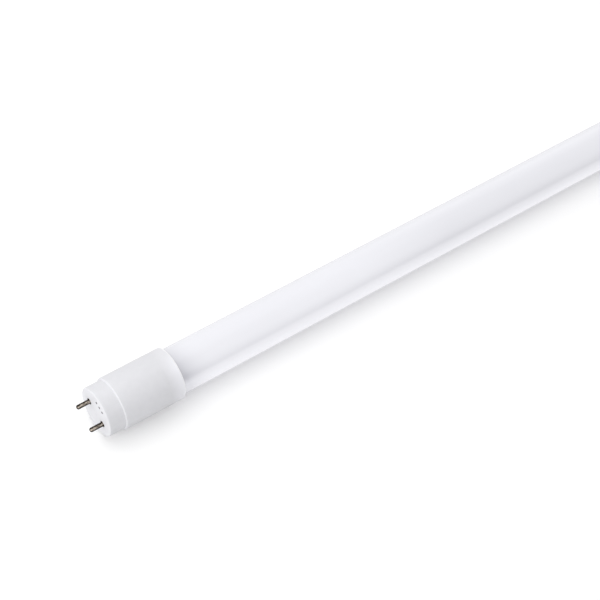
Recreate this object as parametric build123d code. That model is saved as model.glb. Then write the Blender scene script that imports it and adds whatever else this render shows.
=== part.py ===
from build123d import *

import os
from math import sqrt

# A straight LED lamp tube with a two-pin base at each end.
#
# The lamp's own axes: X runs along the tube, Y runs from pin to pin, and Z points the way the light
# leaves. The origin is on the tube's axis, midway between the end faces. Everything is in
# millimetres. The whole lamp is then rolled about X to the way it comes to rest on a table.

# Lamp
FACE_TO_FACE = 589.8          # from end face to end face, without the pins
REST_ROLL = 17.0              # degrees: the driver's weight hangs to one side, so the lamp lies rolled
FIT = 0.1                     # clearance where one piece slides over another

# Glass tube
TUBE_DIAMETER = 24.8
TUBE_WALL = 1.0

# Bond between tube and cap
BOND_GAP = 0.2
BOND_SHRINK = 0.03            # left open at each curved face as an adhesive cures
BOND_LENGTH = 20.0
BOND_RECESS = 1.2             # from the sleeve's open end to the bond

# End cap: its nose is bored like the tube, and its sleeve slips over the tube
SLEEVE_LENGTH = 34.0
SLEEVE_WALL = 1.4
NOSE_LENGTH = 8.9
NOSE_WALL = 1.7
END_WALL = 1.8
SEAT_LEDGE = 1.4              # thickness of the ledge that the tube's end stands on
FACE_EDGE = 0.7               # edge broken round the end face
SHOULDER_EDGE = 0.6           # edge broken round the step from nose to sleeve
RIM_EDGE = 0.6                # edge broken round the sleeve's open end
VENT_DIAMETER = 1.2
VENT_COUNT = 3
VENT_PITCH = 2.7
VENT_HEIGHT = 8.5             # from the lamp's axis to the row of vents
BOSS_WALL = 0.9               # round each pin, inside the cap
BOSS_LENGTH = 3.4

# Contact pins: a slim stem outside the cap, and a thicker body that is pressed through its end wall
PIN_DIAMETER = 2.35
PIN_LENGTH = 7.1              # proud of the end face
PIN_SPACING = 12.7
PIN_BORE = 1.1
PIN_TIP_SKIN = 1.6            # metal left between the bore and the tip
PIN_TIP_EDGE = 0.6
PIN_TAIL = 1.5                # beyond the boss, inside the cap
PIN_BODY_DIAMETER = 3.3
PIN_BODY_PROUD = 0.2          # what shows of the body, as a collar at the root of the stem

# LED strip
STRIP_WIDTH = 8.0
STRIP_THICKNESS = 0.8
STRIP_HIDDEN = 8.0            # length of strip inside each sleeve
BED_FACETS = 8                # flats across the underside of the strip's bed of silicone
LED_LENGTH = 3.5
LED_WIDTH = 2.8
LED_HEIGHT = 0.7
LED_PITCH = 10.5
LED_END_CLEARANCE = 4.0       # from the sleeve's open end to the first package
PHOSPHOR_LENGTH = 2.7
PHOSPHOR_WIDTH = 2.0
PHOSPHOR_DEPTH = 0.35
PHOSPHOR_RECESS = 0.05

# Driver board, standing on edge between the pins, parts on its -Y side
BOARD_START = 5.6             # from the end face
BOARD_LENGTH = 36.6
BOARD_THICKNESS = 1.2
BOARD_SHIFT = -0.2            # from the lamp's axis towards +Y
BOARD_EDGE_GAP = 2.0          # from the board's long edges to the tube's wall and to the LED strip
BOARD_CORNER = 1.0
RAIL_LENGTH = 5.3             # back from the ledge that the tube stands on
RAIL_THICKNESS = 1.2
RAIL_GRIP = 1.2               # how far the rails reach over the board's edges

# Power choke: a ferrite frame with a round post, a bobbin on the post, and its winding
CORE_LENGTH = 9.4
CORE_WIDTH = 6.0
CORE_WALL_GAP = 0.4           # from the core's far corners to the tube's wall
CORE_LEG = 1.7
CORE_POST = 2.6
BOBBIN_FLANGE = 0.7
BOBBIN_WIDTH = 8.6
BOBBIN_WALL = 0.4
WINDING_GAP = 0.15            # between the winding and the bobbin's flanges
WINDING_WIDTH = 8.0
WINDING_CORNER = 1.6

# Filter choke: a drum core standing on the board
DRUM_DIAMETER = 5.0
DRUM_HEIGHT = 6.0
DRUM_FLANGE = 1.0
DRUM_WAIST = 2.4
DRUM_WINDING = 4.4

# Capacitors, as (diameter, length) for the two cans
INPUT_CAN = (8.0, 11.5)
OUTPUT_CAN = (5.0, 8.0)
CAN_GROOVE_DEPTH = 0.35
CAN_GROOVE_PLACE = 1.5        # from the foot to the middle of the rolled groove
FILM_LENGTH = 5.0
FILM_HEIGHT = 7.0
FILM_WIDTH = 3.8
FILM_CHAMFER = 0.4

# Fuse resistor and varistor
FUSE_LENGTH = 6.4
FUSE_DIAMETER = 1.9
FUSE_END_DIAMETER = 2.2
FUSE_END_LENGTH = 1.4
VARISTOR_DIAMETER = 6.0
VARISTOR_THICKNESS = 2.6
VARISTOR_NECK_WIDTH = 3.6
VARISTOR_NECK_THICKNESS = 1.6
VARISTOR_FOOT = 0.6           # from the board to the disc

# Chips, as (length, height, width)
RECTIFIER_SIZE = (4.7, 2.4, 3.9)
RECTIFIER_FEET = 2            # on each long side
CONTROL_CHIP_SIZE = (4.9, 1.6, 3.9)
CONTROL_CHIP_FEET = 4
DIODE_SIZE = (4.3, 2.2, 3.6)
DIODE_FEET = 1
FOOT_STANDOFF = 0.15
FOOT_REACH = 0.8
FOOT_THICKNESS = 0.25
FOOT_SHARE = 0.4              # of the feet's pitch, taken up by the foot's width
RESISTOR_SIZE = (2.0, 0.5, 1.2)
RESISTOR_PITCH = 2.4
RESISTOR_COUNT = 4

# Wires
WIRE_DIAMETER = 1.0
WIRE_SIDES = 6                # the section is drawn as a hexagon
WIRE_BEND = 1.8
WIRE_INSERTION = 3.0          # into the bore of a pin
WIRE_REACH = 4.0              # from a pin's tail to the bend
FEED_WIRE_DIAMETER = 0.8
FEED_WIRE_BEND = 0.9
FEED_WIRE_INSET = 2.5         # from the board's far end and from its lower edge
FEED_WIRE_REACH = 2.0         # from the board's face to the bend

# Places on the board: x from the lamp's end face, z from the board's middle line
CHOKE_PLACE = (32.1, 0.0)
DRUM_PLACE = (24.6, -4.9)
INPUT_CAN_PLACE = (20.9, 3.0)
OUTPUT_CAN_PLACE = (39.6, 1.5)
FILM_PLACE = (19.0, -4.9)
FUSE_PLACE = (13.6, 3.4)
VARISTOR_PLACE = (14.4, -4.6)
RECTIFIER_PLACE = (18.0, 2.0)
CONTROL_CHIP_PLACE = (30.5, 1.0)
DIODE_PLACE = (37.5, 1.0)
RESISTORS_PLACE = (24.5, -1.0)

# Worked out from the sizes above
HALF = FACE_TO_FACE / 2
TUBE_BORE = TUBE_DIAMETER - 2 * TUBE_WALL
NOSE_BORE = TUBE_BORE
NOSE_DIAMETER = NOSE_BORE + 2 * NOSE_WALL
SLEEVE_BORE = TUBE_DIAMETER + 2 * BOND_GAP
SLEEVE_DIAMETER = SLEEVE_BORE + 2 * SLEEVE_WALL
RIM = NOSE_LENGTH + SLEEVE_LENGTH
TUBE_SEAT = NOSE_LENGTH + SEAT_LEDGE
PIN_INNER_END = END_WALL + BOSS_LENGTH + PIN_TAIL
PIN_PLACES = (-PIN_SPACING / 2, PIN_SPACING / 2)
WIRE_START = PIN_INNER_END - WIRE_INSERTION
WIRE_TURN = PIN_INNER_END + WIRE_REACH

# The LED strip lies on the tube's inner wall, where a chord of its own width just fits
STRIP_UNDERSIDE = -sqrt((TUBE_BORE / 2) ** 2 - (STRIP_WIDTH / 2) ** 2)
STRIP_TOP = STRIP_UNDERSIDE + STRIP_THICKNESS
STRIP_LENGTH = FACE_TO_FACE - 2 * (RIM - STRIP_HIDDEN)

# The driver board fills the height between the strip and the tube's wall
BOARD_FRONT = BOARD_SHIFT - BOARD_THICKNESS / 2
BOARD_BACK = BOARD_SHIFT + BOARD_THICKNESS / 2
BOARD_TOP = sqrt((TUBE_BORE / 2) ** 2 - BOARD_BACK**2) - BOARD_EDGE_GAP
BOARD_BOTTOM = STRIP_TOP + BOARD_EDGE_GAP
BOARD_WIDTH = BOARD_TOP - BOARD_BOTTOM
BOARD_LIFT = (BOARD_TOP + BOARD_BOTTOM) / 2

# The power choke is as tall as the tube's wall lets it be
CORE_REACH = sqrt((TUBE_BORE / 2 - CORE_WALL_GAP) ** 2 - (BOARD_LIFT + CORE_WIDTH / 2) ** 2)
CORE_HEIGHT = BOARD_FRONT + CORE_REACH


def cylinder_along_x(diameter, length, x=0.0, y=0.0, z=0.0):
    """A round bar that starts at x and runs towards +X."""
    bar = Cylinder(diameter / 2, length, align=(Align.CENTER, Align.CENTER, Align.MIN))
    return Pos(x, y, z) * Rot(0, 90, 0) * bar


def turned(points):
    """Turns a closed outline, given as (x along the axis, radius) points, about the lamp's axis."""
    return revolve(make_face(Polyline(*points, close=True)), Axis.X, 360)


def cap_shell():
    """The moulded cap without its bosses and rails, from the end face at x = 0 to the open end."""
    return turned(
        [
            (0, 0),
            (0, NOSE_DIAMETER / 2 - FACE_EDGE),
            (FACE_EDGE, NOSE_DIAMETER / 2),
            (NOSE_LENGTH, NOSE_DIAMETER / 2),
            (NOSE_LENGTH, SLEEVE_DIAMETER / 2 - SHOULDER_EDGE),
            (NOSE_LENGTH + SHOULDER_EDGE, SLEEVE_DIAMETER / 2),
            (RIM - RIM_EDGE, SLEEVE_DIAMETER / 2),
            (RIM, SLEEVE_DIAMETER / 2 - RIM_EDGE),
            (RIM, SLEEVE_BORE / 2),
            (TUBE_SEAT, SLEEVE_BORE / 2),
            (TUBE_SEAT, NOSE_BORE / 2),
            (END_WALL, NOSE_BORE / 2),
            (END_WALL, 0),
        ]
    )


def board_rails():
    """Two pairs of ribs in the nose that grip the driver board's long edges."""
    start = TUBE_SEAT - RAIL_LENGTH
    bore = cylinder_along_x(NOSE_BORE, RAIL_LENGTH, start)
    upper = (BOARD_TOP - RAIL_GRIP, NOSE_BORE / 2)
    lower = (-NOSE_BORE / 2, BOARD_BOTTOM + RAIL_GRIP)
    rails = []
    for low_z, high_z in (upper, lower):
        for low_y in (BOARD_FRONT - FIT - RAIL_THICKNESS, BOARD_BACK + FIT):
            rib = Pos(start, low_y, low_z) * Box(
                RAIL_LENGTH, RAIL_THICKNESS, high_z - low_z, align=(Align.MIN, Align.MIN, Align.MIN)
            )
            rails.append(rib & bore)
    return rails


def end_cap():
    """The cap, with its end face at x = 0 and its sleeve towards +X."""
    cap = cap_shell()
    for y in PIN_PLACES:
        cap += cylinder_along_x(PIN_BODY_DIAMETER + 2 * BOSS_WALL, BOSS_LENGTH, END_WALL, y)
    for rail in board_rails():
        cap += rail
    for y in PIN_PLACES:
        cap -= cylinder_along_x(PIN_BODY_DIAMETER, PIN_INNER_END, 0, y)
    for index in range(VENT_COUNT):
        y = (index - (VENT_COUNT - 1) / 2) * VENT_PITCH
        cap -= cylinder_along_x(VENT_DIAMETER, END_WALL, 0, y, VENT_HEIGHT)
    return cap


def contact_pin(y):
    """A hollow pin, open at its inner end, where its wire goes in."""
    bore_end = -PIN_LENGTH + PIN_TIP_SKIN
    pin = turned(
        [
            (-PIN_LENGTH, 0),
            (-PIN_LENGTH, PIN_DIAMETER / 2 - PIN_TIP_EDGE),
            (-PIN_LENGTH + PIN_TIP_EDGE, PIN_DIAMETER / 2),
            (-PIN_BODY_PROUD, PIN_DIAMETER / 2),
            (-PIN_BODY_PROUD, PIN_BODY_DIAMETER / 2),
            (PIN_INNER_END, PIN_BODY_DIAMETER / 2),
            (PIN_INNER_END, PIN_BORE / 2),
            (bore_end, PIN_BORE / 2),
            (bore_end, 0),
        ]
    )
    return Pos(0, y, 0) * pin


def tube_bond():
    """The ring of adhesive that fills the gap between sleeve and tube."""
    start = RIM - BOND_RECESS - BOND_LENGTH
    ring = cylinder_along_x(SLEEVE_BORE - 2 * BOND_SHRINK, BOND_LENGTH, start)
    return ring - cylinder_along_x(TUBE_DIAMETER + 2 * BOND_SHRINK, BOND_LENGTH, start)


def glass_tube():
    length = FACE_TO_FACE - 2 * TUBE_SEAT
    outer = cylinder_along_x(TUBE_DIAMETER, length, -length / 2)
    return outer - cylinder_along_x(TUBE_BORE, length, -length / 2)


def led_strip():
    return Pos(0, 0, STRIP_UNDERSIDE) * Box(
        STRIP_LENGTH, STRIP_WIDTH, STRIP_THICKNESS, align=(Align.CENTER, Align.CENTER, Align.MIN)
    )


def strip_bed():
    """Silicone between the flat strip and the round wall: a bar with a bowed underside."""
    radius = TUBE_BORE / 2 - BOND_SHRINK
    half_width = sqrt(radius**2 - STRIP_UNDERSIDE**2)
    stations = [half_width * (2 * step / BED_FACETS - 1) for step in range(BED_FACETS + 1)]
    bowed = [(y, -sqrt(radius**2 - y**2)) for y in stations]
    section = Plane.YZ.offset(-STRIP_LENGTH / 2) * make_face(Polyline(*bowed, close=True))
    return extrude(section, STRIP_LENGTH)


def led_places():
    """X of each package's centre, evenly spaced about the middle of the lamp."""
    lit = FACE_TO_FACE - 2 * (RIM + LED_END_CLEARANCE) - LED_LENGTH
    gaps = int(lit // LED_PITCH)
    return [(index - gaps / 2) * LED_PITCH for index in range(gaps + 1)]


def led_package():
    """The white housing of one LED, with the well for its phosphor."""
    body = Box(LED_LENGTH, LED_WIDTH, LED_HEIGHT, align=(Align.CENTER, Align.CENTER, Align.MIN))
    well_floor = LED_HEIGHT - PHOSPHOR_RECESS - PHOSPHOR_DEPTH
    well = Pos(0, 0, well_floor) * Box(
        PHOSPHOR_LENGTH, PHOSPHOR_WIDTH, LED_HEIGHT, align=(Align.CENTER, Align.CENTER, Align.MIN)
    )
    return body - well


def led_phosphor():
    well_floor = LED_HEIGHT - PHOSPHOR_RECESS - PHOSPHOR_DEPTH
    return Pos(0, 0, well_floor) * Box(
        PHOSPHOR_LENGTH, PHOSPHOR_WIDTH, PHOSPHOR_DEPTH, align=(Align.CENTER, Align.CENTER, Align.MIN)
    )


def along_strip(piece):
    return Compound([Pos(x, 0, STRIP_TOP) * piece for x in led_places()])


# What stands on the driver board is drawn with its foot at y = 0 and its body towards -Y


def block(length, height, width):
    """A box with its foot at y = 0, its height towards -Y and its width along Z."""
    return Box(length, height, width, align=(Align.CENTER, Align.MAX, Align.CENTER))


def standing_disc(diameter, height, foot=0.0):
    """A round bar that starts at depth foot and grows towards -Y."""
    disc = Cylinder(diameter / 2, height, align=(Align.CENTER, Align.CENTER, Align.MIN))
    return Pos(0, -foot, 0) * Rot(90, 0, 0) * disc


def driver_board():
    board = Box(BOARD_LENGTH, BOARD_THICKNESS, BOARD_WIDTH, align=(Align.MIN, Align.CENTER, Align.CENTER))
    board = fillet(board.edges().filter_by(Axis.Y), BOARD_CORNER)
    return Pos(BOARD_START, BOARD_SHIFT, BOARD_LIFT) * board


def power_choke():
    """The core, the bobbin and the copper winding, seated on the board along X."""
    middle = -CORE_HEIGHT / 2
    window_length = CORE_LENGTH - 2 * CORE_LEG
    window_height = CORE_HEIGHT - 2 * CORE_LEG
    window = Pos(0, middle, 0) * Box(window_length, window_height, CORE_WIDTH)
    post = cylinder_along_x(CORE_POST, window_length, -window_length / 2, middle)
    core = block(CORE_LENGTH, CORE_HEIGHT, CORE_WIDTH) - window + post

    inner_length = window_length - 2 * FIT
    barrel_diameter = CORE_POST + 2 * FIT + 2 * BOBBIN_WALL
    bobbin = cylinder_along_x(barrel_diameter, inner_length, -inner_length / 2, middle)
    for side in (-1, 1):
        x = side * (inner_length - BOBBIN_FLANGE) / 2
        bobbin += Pos(x, middle, 0) * Box(BOBBIN_FLANGE, window_height - 2 * FIT, BOBBIN_WIDTH)
    bobbin -= cylinder_along_x(CORE_POST + 2 * FIT, inner_length, -inner_length / 2, middle)

    wound_length = inner_length - 2 * BOBBIN_FLANGE - 2 * WINDING_GAP
    wound_height = window_height - 2 * FIT - 2 * WINDING_GAP
    winding = Pos(0, middle, 0) * Box(wound_length, wound_height, WINDING_WIDTH)
    winding = fillet(winding.edges().filter_by(Axis.X), WINDING_CORNER)
    winding -= cylinder_along_x(barrel_diameter, wound_length, -wound_length / 2, middle)
    return core, bobbin, winding


def filter_choke():
    """The ferrite drum and the ring of wire round its waist."""
    drum = standing_disc(DRUM_DIAMETER, DRUM_FLANGE)
    drum += standing_disc(DRUM_WAIST, DRUM_HEIGHT)
    drum += standing_disc(DRUM_DIAMETER, DRUM_FLANGE, DRUM_HEIGHT - DRUM_FLANGE)
    wound_height = DRUM_HEIGHT - 2 * DRUM_FLANGE
    winding = standing_disc(DRUM_WINDING, wound_height, DRUM_FLANGE)
    winding -= standing_disc(DRUM_WAIST, wound_height, DRUM_FLANGE)
    return drum, winding


def can(diameter, length):
    """An aluminium can on X, with its foot at x = 0 and the rolled groove above its seal."""
    radius = diameter / 2
    return turned(
        [
            (0, 0),
            (0, radius),
            (CAN_GROOVE_PLACE - CAN_GROOVE_DEPTH, radius),
            (CAN_GROOVE_PLACE, radius - CAN_GROOVE_DEPTH),
            (CAN_GROOVE_PLACE + CAN_GROOVE_DEPTH, radius),
            (length, radius),
            (length, 0),
        ]
    )


def standing_can(diameter, length):
    return Rot(0, 0, -90) * can(diameter, length)


def lying_can(diameter, length):
    return Pos(-length / 2, -diameter / 2, 0) * can(diameter, length)


def film_capacitor():
    box = block(FILM_LENGTH, FILM_HEIGHT, FILM_WIDTH)
    return chamfer(box.faces().sort_by(Axis.Y)[0].edges(), FILM_CHAMFER)


def fuse_resistor():
    """A coated resistor lying across the board along Z, thicker over its end caps."""
    axis_y = -FUSE_END_DIAMETER / 2
    body = Pos(0, axis_y, 0) * Cylinder(FUSE_DIAMETER / 2, FUSE_LENGTH)
    for side in (-1, 1):
        z = side * (FUSE_LENGTH - FUSE_END_LENGTH) / 2
        body += Pos(0, axis_y, z) * Cylinder(FUSE_END_DIAMETER / 2, FUSE_END_LENGTH)
    return body


def varistor():
    """A coated disc standing on its edge, with its coating run down to the board."""
    axis_y = -VARISTOR_FOOT - VARISTOR_DIAMETER / 2
    disc = cylinder_along_x(VARISTOR_DIAMETER, VARISTOR_THICKNESS, -VARISTOR_THICKNESS / 2, axis_y)
    return disc + block(VARISTOR_NECK_THICKNESS, -axis_y, VARISTOR_NECK_WIDTH)


def chip_package(size, foot_count):
    """A moulded chip with bent feet along both long sides."""
    length, height, width = size
    foot_pitch = length / foot_count
    foot_width = foot_pitch * FOOT_SHARE
    package = Pos(0, -FOOT_STANDOFF, 0) * block(length, height - FOOT_STANDOFF, width)
    for side in (-1, 1):
        for index in range(foot_count):
            x = (index - (foot_count - 1) / 2) * foot_pitch
            rise = block(foot_width, height / 2, FOOT_THICKNESS)
            foot = block(foot_width, FOOT_THICKNESS, FOOT_REACH)
            package += Pos(x, 0, side * (width + FOOT_THICKNESS) / 2) * rise
            package += Pos(x, 0, side * (width + FOOT_REACH) / 2) * foot
    return package


def chip_resistors():
    """A short column of chip resistors across the board."""
    middle = (RESISTOR_COUNT - 1) / 2
    places = [(index - middle) * RESISTOR_PITCH for index in range(RESISTOR_COUNT)]
    return Compound([Pos(0, 0, z) * block(*RESISTOR_SIZE) for z in places])


def wire(points, diameter, bend):
    """A wire along straight runs joined by tangent arcs."""
    path = FilletPolyline(*points, radius=bend)
    start = Plane(origin=path @ 0, z_dir=path % 0)
    return sweep(start * RegularPolygon(diameter / 2, WIRE_SIDES), path=path)


def pin_wire(side):
    """From inside a near pin to the face of the driver board on the same side."""
    y = side * PIN_SPACING / 2
    board_y = BOARD_BACK if side > 0 else BOARD_FRONT
    return wire([(WIRE_START, y, 0), (WIRE_TURN, y, 0), (WIRE_TURN, board_y, 0)], WIRE_DIAMETER, WIRE_BEND)


def pin_link():
    """The wire that joins the two far pins, drawn for a cap with its end face at x = 0."""
    y = PIN_SPACING / 2
    points = [(WIRE_START, -y, 0), (WIRE_TURN, -y, 0), (WIRE_TURN, y, 0), (WIRE_START, y, 0)]
    return wire(points, WIRE_DIAMETER, WIRE_BEND)


def feed_wire(side):
    """From the driver board's face down to the LED strip."""
    x = BOARD_START + BOARD_LENGTH - FEED_WIRE_INSET
    z = BOARD_BOTTOM + FEED_WIRE_INSET
    board_y = BOARD_BACK if side > 0 else BOARD_FRONT
    turn_y = board_y + side * FEED_WIRE_REACH
    points = [(x, board_y, z), (x, turn_y, z), (x, turn_y, STRIP_TOP)]
    return wire(points, FEED_WIRE_DIAMETER, FEED_WIRE_BEND)


def at_near_end(piece):
    return Pos(-HALF, 0, 0) * piece


def at_far_end(piece):
    """Turned end for end about Z, so the vents stay on the light's side."""
    return Pos(HALF, 0, 0) * Rot(0, 0, 180) * piece


def on_front(piece, place):
    """Seats a piece, drawn with its foot at y = 0 and its body towards -Y, on the board's front."""
    x, z = place
    return at_near_end(Pos(x, BOARD_FRONT, BOARD_LIFT + z) * piece)


def on_back(piece, place):
    """Seats such a piece on the board's back, turned about X to face +Y."""
    x, z = place
    return at_near_end(Pos(x, BOARD_BACK, BOARD_LIFT + z) * Rot(180, 0, 0) * piece)


choke_core, choke_bobbin, choke_winding = power_choke()
drum_core, drum_winding = filter_choke()
first_pin_y, second_pin_y = PIN_PLACES

pieces = {
    "glass_tube": glass_tube(),
    "led_strip": led_strip(),
    "strip_bed": strip_bed(),
    "led_packages": along_strip(led_package()),
    "led_phosphors": along_strip(led_phosphor()),
    "end_cap_near": at_near_end(end_cap()),
    "end_cap_far": at_far_end(end_cap()),
    "tube_bond_near": at_near_end(tube_bond()),
    "tube_bond_far": at_far_end(tube_bond()),
    "contact_pin_near_a": at_near_end(contact_pin(first_pin_y)),
    "contact_pin_near_b": at_near_end(contact_pin(second_pin_y)),
    "contact_pin_far_a": at_far_end(contact_pin(second_pin_y)),
    "contact_pin_far_b": at_far_end(contact_pin(first_pin_y)),
    "pin_link_wire": at_far_end(pin_link()),
    "live_wire": at_near_end(pin_wire(-1)),
    "neutral_wire": at_near_end(pin_wire(1)),
    "feed_wire_plus": at_near_end(feed_wire(-1)),
    "feed_wire_minus": at_near_end(feed_wire(1)),
    "driver_board": at_near_end(driver_board()),
    "choke_core": on_front(choke_core, CHOKE_PLACE),
    "choke_bobbin": on_front(choke_bobbin, CHOKE_PLACE),
    "choke_winding": on_front(choke_winding, CHOKE_PLACE),
    "filter_drum": on_front(drum_core, DRUM_PLACE),
    "filter_winding": on_front(drum_winding, DRUM_PLACE),
    "input_capacitor": on_front(lying_can(*INPUT_CAN), INPUT_CAN_PLACE),
    "output_capacitor": on_front(standing_can(*OUTPUT_CAN), OUTPUT_CAN_PLACE),
    "film_capacitor": on_front(film_capacitor(), FILM_PLACE),
    "fuse_resistor": on_front(fuse_resistor(), FUSE_PLACE),
    "varistor": on_front(varistor(), VARISTOR_PLACE),
    "bridge_rectifier": on_back(chip_package(RECTIFIER_SIZE, RECTIFIER_FEET), RECTIFIER_PLACE),
    "control_chip": on_back(chip_package(CONTROL_CHIP_SIZE, CONTROL_CHIP_FEET), CONTROL_CHIP_PLACE),
    "output_diode": on_back(chip_package(DIODE_SIZE, DIODE_FEET), DIODE_PLACE),
    "chip_resistors": on_back(chip_resistors(), RESISTORS_PLACE),
}

os.makedirs("parts", exist_ok=True)
for name, piece in pieces.items():
    export_step(Rot(REST_ROLL, 0, 0) * piece, f"parts/{name}.step")
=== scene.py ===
from math import cos, pi, radians, sin

import bmesh
import bpy
from mathutils import Matrix, Vector


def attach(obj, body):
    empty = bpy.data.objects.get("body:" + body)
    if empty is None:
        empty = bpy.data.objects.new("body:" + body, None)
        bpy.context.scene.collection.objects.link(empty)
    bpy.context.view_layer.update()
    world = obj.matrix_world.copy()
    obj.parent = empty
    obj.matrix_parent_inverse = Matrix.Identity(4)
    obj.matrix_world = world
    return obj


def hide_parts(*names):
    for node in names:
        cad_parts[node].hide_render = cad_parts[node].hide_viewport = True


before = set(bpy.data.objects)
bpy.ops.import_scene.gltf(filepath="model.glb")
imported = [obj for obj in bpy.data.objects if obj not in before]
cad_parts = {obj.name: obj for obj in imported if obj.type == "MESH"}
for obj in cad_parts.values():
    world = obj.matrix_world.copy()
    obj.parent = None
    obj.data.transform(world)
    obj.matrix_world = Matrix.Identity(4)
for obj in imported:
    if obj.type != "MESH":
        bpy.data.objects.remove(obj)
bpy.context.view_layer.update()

# A straight LED lamp tube with a two-pin cap at each end, lying on a white surface.
# Sizes are in millimetres in the lamp's own axes: X along the tube, Y from pin to pin, Z the way
# the light leaves. The lamp is rolled about X to the way it rests.
MM = 0.001
FACE_TO_FACE = 589.8
REST_ROLL = 17.0
TUBE_DIAMETER = 24.8
TUBE_WALL = 1.0
SLEEVE_BORE = 25.2
SLEEVE_DIAMETER = 28.0
SLEEVE_LENGTH = 34.0
NOSE_DIAMETER = 26.2
NOSE_BORE = 22.8
NOSE_LENGTH = 8.9
END_WALL = 1.8
TUBE_SEAT = 10.3
FACE_ROUND = 0.7
SHOULDER_ROUND = 0.6
RIM_ROUND = 0.6
NECK_ROUND = 0.3              # in the corner between nose and sleeve
MOUTH_ROUND = 0.15            # inner edge of the sleeve's open end
VENT_DIAMETER = 1.2
VENT_PITCH = 2.7
VENT_HEIGHT = 8.5
VENT_ROUND = 0.18
PIN_DIAMETER = 2.35
PIN_LENGTH = 7.1
PIN_SPACING = 12.7
PIN_BORE = 1.1
PIN_TIP_SKIN = 1.6
PIN_TIP_ROUND = 0.9
PIN_INNER_END = 6.7
PIN_BODY_DIAMETER = 3.3       # the part of the pin that the cap is moulded round
PIN_BODY_PROUD = 0.2
PIN_BODY_ROUND = 0.08
BOSS_WALL = 0.9
BOSS_LENGTH = 3.4
RAIL_START = 5.0
RAIL_PLACES = (-2.1, 0.5)     # low side in Y of the two ribs of a pair
RAIL_THICKNESS = 1.2
UPPER_RAIL_Z = (8.193, 11.5)
LOWER_RAIL_Z = (-11.5, -6.675)

HALF = FACE_TO_FACE / 2
RIM = NOSE_LENGTH + SLEEVE_LENGTH
FLOOR_Z = -SLEEVE_DIAMETER / 2

ROUND_STEPS = 6               # rings over a rounded edge
BODY_SEGMENTS = 192           # round the lamp
PIN_SEGMENTS = 64
VENT_SEGMENTS = 32
SHARP_ANGLE = 38.0            # an edge that turns by more degrees stays sharp

# The painted glow and painted shade of the tube, with the places where they change, each from and to, in
# millimetres
GLOW_FADE = 20.0              # how far from each cap the glow takes to come up
GLOW_FADE_CURVE = 2.5         # above 1, most of the change is close to the cap
SHADE_SLANT = 0.5             # how much sooner the glow comes up for each mm towards the back
SHADE_LEVEL = -5.3            # the place in Y where the glow is lowest right at the sleeve's rim
OUTER_SKIN = (11.7, 12.1)     # distance from the axis over which the painted glow comes in
DIMMING = (-140.0, -80.0)     # along X, where the painted glow dims, as if the room's light fell off
FRONT_TO_BACK = (0.0, 5.0)    # in Y, over which the painted dimming fades out towards the back
SIDE_TO_TOP = (-1.0, 7.0)     # in Z, along the tube, over which the painted glow goes from the sides' to the top's
SIDE_TO_TOP_BY_CAP = (4.5, 8.5)
STRIP_SHADE = (-12.0, -6.0)   # in Z, painted shade over the LED strip

# Painted shade and painted light on the cap
FACE_DEPTH = (0.02, 0.08)     # how deep behind the end face the painted shade of its hollow begins
FACE_HOLLOW = (11.9, 12.2)    # distance from the axis at which the painted shade ends
RIM_GLOW = 8.0                # how far back from its rim the sleeve has painted light, as if lit by the tube
RIM_EDGE = 1.0                # and how far it is at its brightest
RIM_FRONT_TO_BACK = (-5.0, 4.0)    # in Y, over which the painted rim light dims from front to back

# The painted highlight along one side of the pins
PAINTED_HIGHLIGHT_SIDE = (-0.3, -0.54, 0.79)    # the way it faces, fixed in the pin
STAIN_SHARE = 0.5             # how much the stains move its edge
PAINTED_HIGHLIGHT_EDGE = (1.08, 1.24)    # how far a spot faces that way, with its stain, from and to

NOISE_LOW, NOISE_HIGH = 0.3, 0.7    # the span that noise really fills

# Floor and sky
FLOOR_WIDTH = 80              # metres
FLOOR_LIFT = 0.05             # added to the white of the floor round the lamp
FAR_FLOOR_LIFT = 0.25         # and further off, so that it stays pure white there
FAR_FLOOR = (480.0, 1000.0)   # distance from the lamp's middle over which the one becomes the other
SKY_STRENGTH = 1.09
SKY_UP = (0, 0.5, 1)          # the sky's shades lie in rings about this direction
SKY_STOPS = (                 # from the dark room low behind the camera to the diffuser overhead
    (0.275, "#909090"),
    (0.35, "#9A9A9A"),
    (0.40, "#A4A4A4"),
    (0.46, "#BBBBBB"),
    (0.625, "#E2E2E2"),
    (0.85, "#DDDDDD"),
    (0.90, "#DDDDDD"),
    (0.95, "#E1E1E1"),
)
SKY_LEFT_GAIN = 1.3           # the room is brighter on the side the near cap faces


# Colours and nodes


def colour(hex_code):
    """An sRGB hex colour as linear RGBA."""
    channels = [int(hex_code[index : index + 2], 16) / 255 for index in (1, 3, 5)]
    linear = [c / 12.92 if c <= 0.04045 else ((c + 0.055) / 1.055) ** 2.4 for c in channels]
    return (*linear, 1.0)


def add_node(tree, kind, settings=(), links=()):
    """Adds a node. A setting fills the socket of that name, or else the property; a link joins a socket."""
    node = tree.nodes.new(kind)
    for name, value in dict(settings).items():
        if isinstance(name, int) or name in node.inputs:
            node.inputs[name].default_value = value
        else:
            setattr(node, name, value)
    for name, output in dict(links).items():
        tree.links.new(output, node.inputs[name])
    return node


def new_material(name, **settings):
    """A material with one principled surface, its sockets set by name with _ for a blank."""
    material = bpy.data.materials.new(name)
    material.use_nodes = True
    surface = material.node_tree.nodes["Principled BSDF"]
    for socket, value in settings.items():
        surface.inputs[socket.replace("_", " ")].default_value = value
    return material, material.node_tree, surface


def grain_noise(tree, size_mm, detail=2.0, stretch=(1, 1, 1)):
    """Noise whose spots are about size_mm across, stretched along the lamp's axes."""
    place = add_node(tree, "ShaderNodeTexCoord")
    mapping = add_node(tree, "ShaderNodeMapping", {"Scale": stretch}, {"Vector": place.outputs["Object"]})
    return add_node(
        tree,
        "ShaderNodeTexNoise",
        {"Scale": 1 / (size_mm * MM), "Detail": detail, "Roughness": 0.55},
        {"Vector": mapping.outputs["Vector"]},
    )


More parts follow.
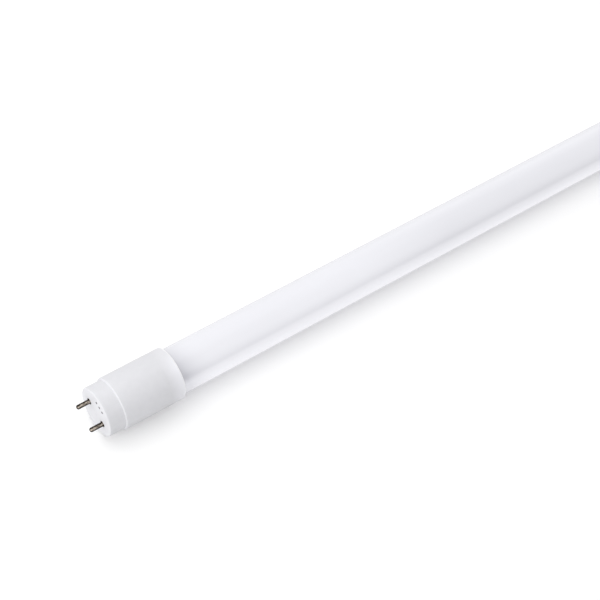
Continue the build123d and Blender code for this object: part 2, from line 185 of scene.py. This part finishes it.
def mottle(tree, surface, dark, light, size_mm, stretch=(1, 1, 1)):
    """The colour drifts between two shades in spots about size_mm across."""
    noise = grain_noise(tree, size_mm, 3.0, stretch)
    ramp = add_node(tree, "ShaderNodeValToRGB", links={"Fac": noise.outputs["Fac"]})
    shades = ((NOISE_LOW, dark), (NOISE_HIGH, light))
    for stop, (position, shade) in zip(ramp.color_ramp.elements, shades):
        stop.position = position
        stop.color = colour(shade)
    tree.links.new(ramp.outputs["Color"], surface.inputs["Base Color"])
    return ramp


def roughen(tree, surface, low, high, size_mm):
    """The gloss drifts between two roughnesses in spots about size_mm across."""
    noise = grain_noise(tree, size_mm)
    span = add_node(
        tree,
        "ShaderNodeMapRange",
        {"From Min": NOISE_LOW, "From Max": NOISE_HIGH, "To Min": low, "To Max": high},
        {"Value": noise.outputs["Fac"]},
    )
    tree.links.new(span.outputs["Result"], surface.inputs["Roughness"])


def relief(tree, surface, height, depth_mm):
    """Bump of depth_mm from a height of 0 to 1."""
    bump = add_node(tree, "ShaderNodeBump", {"Distance": depth_mm * MM}, {"Height": height})
    tree.links.new(bump.outputs["Normal"], surface.inputs["Normal"])


def lamp_place(tree):
    """A point's X, Y and Z, its distance from the lamp's middle along X and that from the tube's axis."""
    place = add_node(tree, "ShaderNodeTexCoord").outputs["Object"]
    axes = add_node(tree, "ShaderNodeSeparateXYZ", links={"Vector": place})
    along = add_node(tree, "ShaderNodeMath", {"operation": "ABSOLUTE"}, {0: axes.outputs["X"]})
    across = add_node(tree, "ShaderNodeVectorMath", {"operation": "MULTIPLY", 1: (0, 1, 1)}, {0: place})
    radius = add_node(
        tree, "ShaderNodeVectorMath", {"operation": "LENGTH"}, {0: across.outputs["Vector"]}
    )
    return axes.outputs, along.outputs["Value"], radius.outputs["Value"]


def ramp_between(tree, value, start_mm, end_mm, low=0.0, high=1.0):
    """Low up to start_mm, high from end_mm on, and a straight slope between."""
    span = add_node(
        tree,
        "ShaderNodeMapRange",
        {"From Min": start_mm * MM, "From Max": end_mm * MM, "To Min": low, "To Max": high},
        {"Value": value},
    )
    return span.outputs["Result"]


def blend_colours(tree, factor, first, second):
    """A colour between two others; each is a hex code or an output."""
    mix = add_node(tree, "ShaderNodeMix", {"data_type": "RGBA"}, {0: factor})
    for socket, source in ((mix.inputs[6], first), (mix.inputs[7], second)):
        if isinstance(source, str):
            socket.default_value = colour(source)
        else:
            tree.links.new(source, socket)
    return mix.outputs[2]


# Materials


def opal_glass():
    """Drawn glass with an opal lining: milky and even, with a mirror-smooth skin on top.

    Its emission is painted light that stands in for daylight soaking in all round and coming back out
    of the lining, so the tube is bright on every side; painted shade greys it near the caps and over the
    LED strip.
    """
    material, tree, surface = new_material(
        "opal glass",
        Roughness=0.2,
        IOR=1.76,
        Coat_Weight=1.0,
        Coat_Roughness=0.12,
        Coat_IOR=1.76,
        Emission_Strength=1.0,
    )
    axes, along, radius = lamp_place(tree)
    # Painted shade near the caps, reaching further along the tube's front, as if the lamps stood behind it
    slant = add_node(
        tree, "ShaderNodeMath", {"operation": "MULTIPLY_ADD", 1: -SHADE_SLANT}, {0: axes["Y"], 2: along}
    )
    shade_end = HALF - RIM - SHADE_SLANT * SHADE_LEVEL
    by_cap = ramp_between(tree, slant.outputs["Value"], shade_end - GLOW_FADE, shade_end)
    painted_cap_shade = add_node(tree, "ShaderNodeMath", {"operation": "POWER", 1: GLOW_FADE_CURVE}, {0: by_cap})
    # Faint drift in the lining's thickness along the tube
    body = mottle(tree, surface, "#ABABB0", "#AFAFB4", 12.0, (0.2, 1, 1))
    # Painted shade: the body greys near the caps
    shaded = blend_colours(tree, painted_cap_shade.outputs["Value"], body.outputs["Color"], "#9C9CA3")
    tree.links.new(shaded, surface.inputs["Base Color"])
    # Painted glow from the lining, dimmer along the top, where the sky is mirrored too. It is painted
    # dimmer towards the far end and in front, as if the room were brighter at the near end and behind the
    # tube
    far_part = ramp_between(tree, axes["X"], *DIMMING)
    in_front = ramp_between(tree, axes["Y"], *FRONT_TO_BACK, 1.0, 0.0)
    dimmed = add_node(tree, "ShaderNodeMath", {"operation": "MULTIPLY"}, {0: far_part, 1: in_front})
    top_glow = blend_colours(tree, dimmed.outputs["Value"], "#B0B0B4", "#A5A5A9")
    topside = ramp_between(tree, axes["Z"], *SIDE_TO_TOP)
    even_glow = blend_colours(tree, topside, "#CBCBCF", top_glow)
    # Painted shade: near the caps the glow is darker, most along the top
    topside_by_cap = ramp_between(tree, axes["Z"], *SIDE_TO_TOP_BY_CAP)
    glow_by_cap = blend_colours(tree, topside_by_cap, "#AFAFB3", "#828287")
    glow = blend_colours(tree, painted_cap_shade.outputs["Value"], even_glow, glow_by_cap)
    # The painted glow comes from the outer skin only
    outside = ramp_between(tree, radius, *OUTER_SKIN)
    skin_glow = blend_colours(tree, outside, "#000000", glow)
    # Painted shade: the glow is dimmer underneath, over the LED strip along the floor of the tube
    above_strip = ramp_between(tree, axes["Z"], *STRIP_SHADE)
    open_glow = blend_colours(tree, above_strip, "#76767A", skin_glow)
    tree.links.new(open_glow, surface.inputs["Emission Color"])
    # Draw lines: long shallow waves that make the mirrored edge waver a little
    drawn = grain_noise(tree, 9.0, 1.0, (0.12, 1, 1))
    relief(tree, surface, drawn.outputs["Fac"], 0.006)
    return material


def moulded_cap():
    """Injection-moulded polycarbonate from a spark-eroded mould: even white with a fine silky grain, with
    painted shade in its hollow and painted light at the sleeve's rim.
    """
    material, tree, surface = new_material("moulded polycarbonate", IOR=1.585)
    # The slight cloudiness of a white resin
    resin = mottle(tree, surface, "#DDDDE1", "#E0E0E4", 3.0)
    # Painted shade: the hollow of the nose and the walls of the vents are near black, so that the vents
    # show as dark dots
    axes, along, radius = lamp_place(tree)
    behind_face = ramp_between(tree, along, HALF - FACE_DEPTH[1], HALF - FACE_DEPTH[0], 1.0, 0.0)
    within = ramp_between(tree, radius, *FACE_HOLLOW, 1.0, 0.0)
    hollow = add_node(tree, "ShaderNodeMath", {"operation": "MULTIPLY"}, {0: behind_face, 1: within})
    shaded = blend_colours(tree, hollow.outputs["Value"], resin.outputs["Color"], "#1C1C1F")
    # Painted light on the rim of the sleeve, as if lit from behind by the end of the tube, most at its very
    # edge and in front
    behind = ramp_between(tree, axes["Y"], *RIM_FRONT_TO_BACK)
    painted_rim_light = blend_colours(tree, behind, "#F9F9FF", "#E8E8EC")
    edge = ramp_between(tree, along, HALF - RIM, HALF - RIM + RIM_EDGE, 1.0, 0.0)
    painted_rim_highlight = blend_colours(tree, edge, painted_rim_light, "#FFFFFF")
    lit_rim = ramp_between(tree, along, HALF - RIM, HALF - RIM + RIM_GLOW, 1.0, 0.0)
    lit = blend_colours(tree, lit_rim, shaded, painted_rim_highlight)
    tree.links.new(lit, surface.inputs["Base Color"])
    # The eroded grain keeps the cap matt beside the glass; it is drawn coarser than the real 0.05 mm
    roughen(tree, surface, 0.42, 0.5, 1.5)
    grain = grain_noise(tree, 0.25, 3.0)
    relief(tree, surface, grain.outputs["Fac"], 0.004)
    return material


def nickel_plate():
    """Nickel-plated brass, barrel plated: a warm brownish grey under a dull film, with a painted highlight
    along one side.
    """
    material, tree, surface = new_material("nickel plate", Metallic=1.0)
    # Painted light and shade: dark brown all round, with a painted highlight along one fixed side and over
    # the tip
    place = add_node(tree, "ShaderNodeTexCoord")
    facing = add_node(
        tree,
        "ShaderNodeVectorMath",
        {"operation": "DOT_PRODUCT", 1: PAINTED_HIGHLIGHT_SIDE},
        {0: place.outputs["Normal"]},
    )
    stains = grain_noise(tree, 0.7, 2.0, (0.4, 1, 1))
    uneven = add_node(
        tree,
        "ShaderNodeMath",
        {"operation": "MULTIPLY_ADD", 1: STAIN_SHARE},
        {0: stains.outputs["Fac"], 2: facing.outputs["Value"]},
    )
    painted_highlight = add_node(
        tree,
        "ShaderNodeMapRange",
        {"From Min": PAINTED_HIGHLIGHT_EDGE[0], "From Max": PAINTED_HIGHLIGHT_EDGE[1]},
        {"Value": uneven.outputs["Value"]},
    )
    film = blend_colours(tree, painted_highlight.outputs["Result"], "#362E28", "#CCC1B4")
    tree.links.new(film, surface.inputs["Base Color"])
    # Patches where the film is thicker and the shine breaks up
    roughen(tree, surface, 0.16, 0.3, 0.5)
    # Turning marks round the pin, drawn coarser than the real 0.05 mm
    turned = grain_noise(tree, 0.12, 2.0, (1, 0.05, 0.05))
    relief(tree, surface, turned.outputs["Fac"], 0.006)
    return material


def silicone():
    """Cured silicone: milky and rubbery, with soft lumps where it was laid."""
    material, tree, surface = new_material(
        "cured silicone", IOR=1.41, Subsurface_Weight=0.1, Subsurface_Scale=2 * MM
    )
    mottle(tree, surface, "#E4E4DF", "#EFEFEA", 2.0)
    roughen(tree, surface, 0.45, 0.6, 1.0)
    relief(tree, surface, grain_noise(tree, 1.5).outputs["Fac"], 0.05)
    return material


def solder_mask(name, dark, light):
    """Solder mask screened over a board: satin lacquer with the weave just showing through."""
    material, tree, surface = new_material(name, IOR=1.52, Coat_Weight=0.25, Coat_Roughness=0.2)
    mottle(tree, surface, dark, light, 1.2)
    roughen(tree, surface, 0.32, 0.45, 0.8)
    relief(tree, surface, grain_noise(tree, 0.4).outputs["Fac"], 0.01)
    return material


def moulded(name, dark, light, rough=(0.4, 0.55), grain_mm=0.3):
    """Moulded resin, dipped epoxy or drawn PVC: an even colour, a fine grain and its own gloss."""
    material, tree, surface = new_material(name, IOR=1.55)
    mottle(tree, surface, dark, light, 1.5)
    roughen(tree, surface, *rough, 0.8)
    relief(tree, surface, grain_noise(tree, grain_mm).outputs["Fac"], 0.008)
    return material


def sintered_ferrite():
    """Pressed and sintered ferrite: charcoal grey and powdery, with pores."""
    material, tree, surface = new_material("sintered ferrite", IOR=2.0)
    mottle(tree, surface, "#2C2C30", "#45454A", 0.5)
    roughen(tree, surface, 0.6, 0.8, 0.6)
    relief(tree, surface, grain_noise(tree, 0.2, 3.0).outputs["Fac"], 0.02)
    return material


def wound_copper(name, pitch_mm):
    """Enamelled copper wire in close turns: orange-brown ridges with a varnish shine."""
    material, tree, surface = new_material(name, Metallic=1.0, Coat_Weight=0.5, Coat_Roughness=0.15)
    mottle(tree, surface, "#9C5A32", "#C77B49", 0.9)
    roughen(tree, surface, 0.28, 0.4, 0.6)
    # The turns lie side by side away from the board, so the lamp's roll is taken off first
    place = add_node(tree, "ShaderNodeTexCoord")
    upright = add_node(
        tree,
        "ShaderNodeMapping",
        {"Rotation": (radians(-REST_ROLL), 0, 0)},
        {"Vector": place.outputs["Object"]},
    )
    turns = add_node(
        tree,
        "ShaderNodeTexWave",
        {"bands_direction": "Y", "Scale": pi / (10 * pitch_mm * MM), "Distortion": 0.2},
        {"Vector": upright.outputs["Vector"]},
    )
    relief(tree, surface, turns.outputs["Fac"], pitch_mm / 3)
    return material


def phosphor():
    """Phosphor powder in silicone: a yellow well with a soft skin."""
    material, tree, surface = new_material(
        "phosphor gel", IOR=1.41, Subsurface_Weight=0.1, Subsurface_Scale=0.5 * MM
    )
    mottle(tree, surface, "#E3B92F", "#F2CF55", 0.4)
    roughen(tree, surface, 0.2, 0.35, 0.5)
    relief(tree, surface, grain_noise(tree, 0.3).outputs["Fac"], 0.01)
    return material


def white_sheet():
    """The white surface under the lamp. It keeps the lamp's shadow and is pure white further off.

    What mirrors it shows it a little darker, so that the tube's edge stands out from it.
    """
    material = bpy.data.materials.new("white sheet")
    material.use_nodes = True
    tree = material.node_tree
    tree.nodes.clear()
    path = add_node(tree, "ShaderNodeLightPath")
    lit_sheet = add_node(tree, "ShaderNodeBsdfDiffuse", {"Color": colour("#F4F4F4")})
    mirrored_sheet = add_node(tree, "ShaderNodeBsdfDiffuse", {"Color": colour("#DADADA")})
    sheet = add_node(
        tree,
        "ShaderNodeMixShader",
        links={0: path.outputs["Is Glossy Ray"], 1: lit_sheet.outputs[0], 2: mirrored_sheet.outputs[0]},
    )
    bright_sheet = add_node(tree, "ShaderNodeBsdfDiffuse", {"Color": colour("#FFFFFF")})
    place = add_node(tree, "ShaderNodeTexCoord")
    away = add_node(tree, "ShaderNodeVectorMath", {"operation": "LENGTH"}, {0: place.outputs["Object"]})
    strength = ramp_between(tree, away.outputs["Value"], *FAR_FLOOR, FLOOR_LIFT, FAR_FLOOR_LIFT)
    lift = add_node(tree, "ShaderNodeEmission", {"Color": colour("#FFFFFF")}, {"Strength": strength})
    seen = add_node(tree, "ShaderNodeAddShader", links={0: bright_sheet.outputs[0], 1: lift.outputs[0]})
    choice = add_node(tree, "ShaderNodeMixShader", links={"Fac": path.outputs["Is Camera Ray"]})
    tree.links.new(sheet.outputs["Shader"], choice.inputs[1])
    tree.links.new(seen.outputs["Shader"], choice.inputs[2])
    add_node(tree, "ShaderNodeOutputMaterial", links={"Surface": choice.outputs["Shader"]})
    return material


# Meshes


def arc(centre_x, centre_radius, radius, start, end):
    """Points (x, radius) along an arc, with its angles in degrees from +X towards the outside."""
    angles = [radians(start + (end - start) * step / ROUND_STEPS) for step in range(ROUND_STEPS + 1)]
    return [(centre_x + radius * cos(a), centre_radius + radius * sin(a)) for a in angles]


def add_ring(mesh, x, radius, segments, y=0.0, z=0.0):
    points = [2 * pi * index / segments for index in range(segments)]
    return [mesh.verts.new((x, y + radius * cos(a), z + radius * sin(a))) for a in points]


def add_rings(mesh, profile, segments, y=0.0, z=0.0):
    """Joins a ring for each (x, radius) of the profile, and returns the first and the last."""
    rings = [add_ring(mesh, x, radius, segments, y, z) for x, radius in profile]
    for ring, following in zip(rings, rings[1:]):
        for index in range(segments):
            after = (index + 1) % segments
            mesh.faces.new((ring[index], ring[after], following[after], following[index]))
    return rings[0], rings[-1]


def rim_edges(mesh, ring):
    """The edges round a ring."""
    following = ring[1:] + ring[:1]
    return [mesh.edges.get(pair) or mesh.edges.new(pair) for pair in zip(ring, following)]


def fill_between(mesh, *rings):
    """A flat face bounded by the first ring, with the others as holes."""
    edges = [edge for ring in rings for edge in rim_edges(mesh, ring)]
    bmesh.ops.triangle_fill(mesh, use_beauty=True, edges=edges)


def add_block(mesh, low, high):
    size = Vector(high) - Vector(low)
    middle = (Vector(high) + Vector(low)) / 2
    matrix = Matrix.Translation(middle) @ Matrix.Diagonal((*size, 1))
    bmesh.ops.create_cube(mesh, size=1, matrix=matrix)


def finished_piece(name, mesh, material, place, nodes):
    """Turns a mesh built in millimetres into a piece that stands for CAD nodes."""
    bmesh.ops.recalc_face_normals(mesh, faces=mesh.faces)
    mesh.transform(Matrix.Rotation(radians(REST_ROLL), 4, "X") @ place)
    mesh.transform(Matrix.Diagonal((MM, MM, MM, 1)))
    data = bpy.data.meshes.new(name)
    mesh.to_mesh(data)
    mesh.free()
    data.shade_smooth()
    data.set_sharp_from_angle(angle=radians(SHARP_ANGLE))
    piece = bpy.data.objects.new(name, data)
    bpy.context.scene.collection.objects.link(piece)
    data.materials.append(material)
    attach(piece, "root")
    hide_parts(*nodes)


def opal_tube():
    """The glass tube with its fire-polished ends."""
    half = HALF - TUBE_SEAT
    outer = TUBE_DIAMETER / 2
    inner = outer - TUBE_WALL
    edge = TUBE_WALL / 2
    profile = [
        *arc(-half + edge, outer - edge, edge, 270, 90)[1:-1],
        (-HALF + RIM, outer),
        *[(HALF * step / 4, outer) for step in (-3, -2, -1, 0, 1, 2, 3)],
        (HALF - RIM, outer),
        *arc(half - edge, outer - edge, edge, 90, -90)[1:-1],
        *[(HALF * step / 4, inner) for step in (3, 2, 1, 0, -1, -2, -3)],
    ]
    mesh = bmesh.new()
    first, last = add_rings(mesh, profile, BODY_SEGMENTS)
    for index in range(BODY_SEGMENTS):
        after = (index + 1) % BODY_SEGMENTS
        mesh.faces.new((last[index], last[after], first[after], first[index]))
    return mesh


def end_cap():
    """The moulded cap: skin, vents, pin bosses and board rails."""
    nose = NOSE_DIAMETER / 2
    sleeve = SLEEVE_DIAMETER / 2
    bore = SLEEVE_BORE / 2
    skin = [
        *arc(FACE_ROUND, nose - FACE_ROUND, FACE_ROUND, 180, 90),
        *arc(NOSE_LENGTH - NECK_ROUND, nose + NECK_ROUND, NECK_ROUND, 270, 360),
        *arc(NOSE_LENGTH + SHOULDER_ROUND, sleeve - SHOULDER_ROUND, SHOULDER_ROUND, 180, 90),
        *arc(RIM - RIM_ROUND, sleeve - RIM_ROUND, RIM_ROUND, 90, 0),
        *arc(RIM - MOUTH_ROUND, bore + MOUTH_ROUND, MOUTH_ROUND, 0, -90),
        (TUBE_SEAT, bore),
        (TUBE_SEAT, NOSE_BORE / 2),
        (END_WALL, NOSE_BORE / 2),
    ]
    mesh = bmesh.new()
    outer_rims = []
    inner_rims = []
    first, last = add_rings(mesh, skin, BODY_SEGMENTS)
    outer_rims.append(first)
    inner_rims.append(last)
    for index in (-1, 0, 1):
        vent = VENT_DIAMETER / 2
        profile = [*arc(VENT_ROUND, vent + VENT_ROUND, VENT_ROUND, 180, 270), (END_WALL, vent)]
        first, last = add_rings(mesh, profile, VENT_SEGMENTS, index * VENT_PITCH, VENT_HEIGHT)
        outer_rims.append(first)
        inner_rims.append(last)
    hole = PIN_BODY_DIAMETER / 2
    for side in (-1, 1):
        profile = [
            (0, hole),
            (END_WALL + BOSS_LENGTH, hole),
            (END_WALL + BOSS_LENGTH, hole + BOSS_WALL),
            (END_WALL, hole + BOSS_WALL),
        ]
        first, last = add_rings(mesh, profile, PIN_SEGMENTS, side * PIN_SPACING / 2)
        outer_rims.append(first)
        inner_rims.append(last)
    fill_between(mesh, *outer_rims)
    fill_between(mesh, *inner_rims)
    for low_z, high_z in (UPPER_RAIL_Z, LOWER_RAIL_Z):
        for low_y in RAIL_PLACES:
            add_block(mesh, (RAIL_START, low_y, low_z), (TUBE_SEAT, low_y + RAIL_THICKNESS, high_z))
    return mesh


def contact_pin():
    """A hollow pin with a round tip, and the wider body that the cap holds."""
    pin = PIN_DIAMETER / 2
    body = PIN_BODY_DIAMETER / 2
    tip = PIN_TIP_ROUND
    skin = [
        *arc(-PIN_LENGTH + tip, pin - tip, tip, 180, 90),
        (-PIN_BODY_PROUD, pin),
        *arc(-PIN_BODY_PROUD + PIN_BODY_ROUND, body - PIN_BODY_ROUND, PIN_BODY_ROUND, 180, 90),
        (PIN_INNER_END, body),
        (PIN_INNER_END, PIN_BORE / 2),
        (-PIN_LENGTH + PIN_TIP_SKIN, PIN_BORE / 2),
    ]
    mesh = bmesh.new()
    first, last = add_rings(mesh, skin, PIN_SEGMENTS)
    mesh.faces.new(first)
    mesh.faces.new(last)
    return mesh


# Pieces
glass = opal_glass()
cap_plastic = moulded_cap()
nickel = nickel_plate()

finished_piece("opal_tube", opal_tube(), glass, Matrix.Identity(4), ["glass_tube"])

near_end = Matrix.Translation((-HALF, 0, 0))
far_end = Matrix.Translation((HALF, 0, 0)) @ Matrix.Rotation(pi, 4, "Z")
pin_letters = {-1: "a", 1: "b"}
for end_name, end_place, pin_order in (("near", near_end, 1), ("far", far_end, -1)):
    cap_node = f"end_cap_{end_name}"
    finished_piece(f"{cap_node}_moulding", end_cap(), cap_plastic, end_place, [cap_node])
    for side, letter in pin_letters.items():
        pin_node = f"contact_pin_{end_name}_{letter}"
        place = end_place @ Matrix.Translation((0, side * pin_order * PIN_SPACING / 2, 0))
        finished_piece(f"{pin_node}_turned", contact_pin(), nickel, place, [pin_node])


# What the caps and the tube hide keeps its CAD shape and takes its own finish
white_mask = solder_mask("white mask on aluminium", "#DCDDDE", "#E8E9EA")
green_mask = solder_mask("green mask on laminate", "#2A5E37", "#346C42")
led_resin = moulded("reflector resin", "#EDEDE8", "#F4F4EF")
gel = phosphor()
rubber = silicone()
ferrite = sintered_ferrite()
bobbin_resin = moulded("phenolic bobbin", "#18181A", "#212123")
choke_wire = wound_copper("choke wire", 0.35)
filter_wire = wound_copper("filter wire", 0.25)
shrink_sleeve = moulded("shrink sleeve", "#181820", "#21212B", (0.25, 0.38))
film_epoxy = moulded("potted film box", "#C9A22F", "#D8B342", (0.2, 0.32))
flameproof_coat = moulded("flameproof coat", "#56876F", "#649A80", (0.45, 0.6))
dipped_epoxy = moulded("dipped epoxy", "#20428C", "#2A509E", (0.25, 0.4))
chip_epoxy = moulded("moulded epoxy", "#141415", "#1E1E20", (0.55, 0.7), 0.15)
chip_glaze = moulded("resistor glaze", "#1C1C1F", "#29292D", (0.3, 0.45), 0.15)
white_pvc = moulded("white wire cover", "#E2E2E0", "#EDEDEB", (0.35, 0.48))
brown_pvc = moulded("brown wire cover", "#523019", "#613A21", (0.35, 0.48))
blue_pvc = moulded("blue wire cover", "#1B4399", "#2450AC", (0.35, 0.48))
red_pvc = moulded("red wire cover", "#AE1A1A", "#C02424", (0.35, 0.48))
black_pvc = moulded("black wire cover", "#131314", "#1C1C1E", (0.35, 0.48))

finishes = {
    "led_strip": white_mask,
    "strip_bed": rubber,
    "tube_bond_near": rubber,
    "tube_bond_far": rubber,
    "led_packages": led_resin,
    "led_phosphors": gel,
    "driver_board": green_mask,
    "choke_core": ferrite,
    "choke_bobbin": bobbin_resin,
    "choke_winding": choke_wire,
    "filter_drum": ferrite,
    "filter_winding": filter_wire,
    "input_capacitor": shrink_sleeve,
    "output_capacitor": shrink_sleeve,
    "film_capacitor": film_epoxy,
    "fuse_resistor": flameproof_coat,
    "varistor": dipped_epoxy,
    "bridge_rectifier": chip_epoxy,
    "control_chip": chip_epoxy,
    "output_diode": chip_epoxy,
    "chip_resistors": chip_glaze,
    "pin_link_wire": white_pvc,
    "live_wire": brown_pvc,
    "neutral_wire": blue_pvc,
    "feed_wire_plus": red_pvc,
    "feed_wire_minus": black_pvc,
}
for node_name, finish in finishes.items():
    for finish_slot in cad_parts[node_name].material_slots:
        finish_slot.material = finish

# The floor
bpy.ops.mesh.primitive_grid_add(
    x_subdivisions=4, y_subdivisions=4, size=FLOOR_WIDTH, location=(0, 0, FLOOR_Z * MM)
)
floor = bpy.context.object
floor.name = "white_floor"
floor.data.materials.append(white_sheet())

# The light: a broad diffuser overhead, a dim room low behind the camera
world = bpy.data.worlds.new("soft daylight")
bpy.context.scene.world = world
world.use_nodes = True
sky = world.node_tree
backdrop = sky.nodes["Background"]
direction = add_node(sky, "ShaderNodeTexCoord")
upward = add_node(
    sky, "ShaderNodeVectorMath", {"operation": "DOT_PRODUCT"}, {0: direction.outputs["Generated"]}
)
upward.inputs[1].default_value = Vector(SKY_UP).normalized()
height = add_node(sky, "ShaderNodeMapRange", {"From Min": -1.0}, {"Value": upward.outputs["Value"]})
shade = add_node(sky, "ShaderNodeValToRGB", links={"Fac": height.outputs["Result"]})
for position, code in SKY_STOPS:
    stop = shade.color_ramp.elements.new(position)
    stop.color = colour(code)
shade.color_ramp.elements.remove(shade.color_ramp.elements[0])
shade.color_ramp.elements.remove(shade.color_ramp.elements[-1])
sky.links.new(shade.outputs["Color"], backdrop.inputs["Color"])
sideways = add_node(sky, "ShaderNodeSeparateXYZ", links={"Vector": direction.outputs["Generated"]})
level = add_node(
    sky,
    "ShaderNodeMapRange",
    {"From Min": -1.0, "From Max": 0.0, "To Min": SKY_STRENGTH * SKY_LEFT_GAIN, "To Max": SKY_STRENGTH},
    {"Value": sideways.outputs["X"]},
)
sky.links.new(level.outputs["Result"], backdrop.inputs["Strength"])
# Behind the floor's edge the camera sees plain white
white_wall = add_node(sky, "ShaderNodeBackground", {"Color": colour("#FFFFFF"), "Strength": 1.0})
sky_path = add_node(sky, "ShaderNodeLightPath")
seen_sky = add_node(
    sky,
    "ShaderNodeMixShader",
    links={
        0: sky_path.outputs["Is Camera Ray"],
        1: backdrop.outputs["Background"],
        2: white_wall.outputs["Background"],
    },
)
sky.links.new(seen_sky.outputs["Shader"], sky.nodes["World Output"].inputs["Surface"])


def soft_lamp(name, power, size, place, aim):
    """A large square lamp that faces the point aim, in watts and metres."""
    lamp = bpy.data.lights.new(name, "AREA")
    lamp.energy = power
    lamp.size = size
    holder = bpy.data.objects.new(name, lamp)
    bpy.context.scene.collection.objects.link(holder)
    holder.location = place
    holder.rotation_euler = (Vector(aim) - Vector(place)).to_track_quat("-Z", "Y").to_euler()


soft_lamp("overhead softbox", 1.9, 0.8, (-0.4, 0.4, 0.9), (-0.28, 0, 0))
soft_lamp("side softbox", 4.2, 0.8, (-1.4, -0.1, 0.42), (-0.29, 0, 0))

# The camera looks down on the near cap, with the tube running to the upper right
CAMERA_TARGET = Vector((-163.67, 9.1, FLOOR_Z)) * MM
CAMERA_DISTANCE = 789.36 * MM
CAMERA_HEADING = 47.21        # degrees from +Y towards +X
CAMERA_ELEVATION = 54.83
CAMERA_TILT = 13.66
CAMERA_LENS = 89.8

camera_data = bpy.data.cameras.new("photo angle")
camera = bpy.data.objects.new("photo angle", camera_data)
bpy.context.scene.collection.objects.link(camera)
camera_data.lens = CAMERA_LENS
camera_data.clip_start = 0.01
aim = Matrix.Rotation(radians(-CAMERA_HEADING), 4, "Z") @ Matrix.Rotation(
    radians(90 - CAMERA_ELEVATION), 4, "X"
)
camera.matrix_world = (
    Matrix.Translation(CAMERA_TARGET)
    @ aim
    @ Matrix.Rotation(radians(CAMERA_TILT), 4, "Z")
    @ Matrix.Translation((0, 0, CAMERA_DISTANCE))
)
bpy.context.scene.camera = camera
bpy.context.scene.view_settings.view_transform = "Standard"
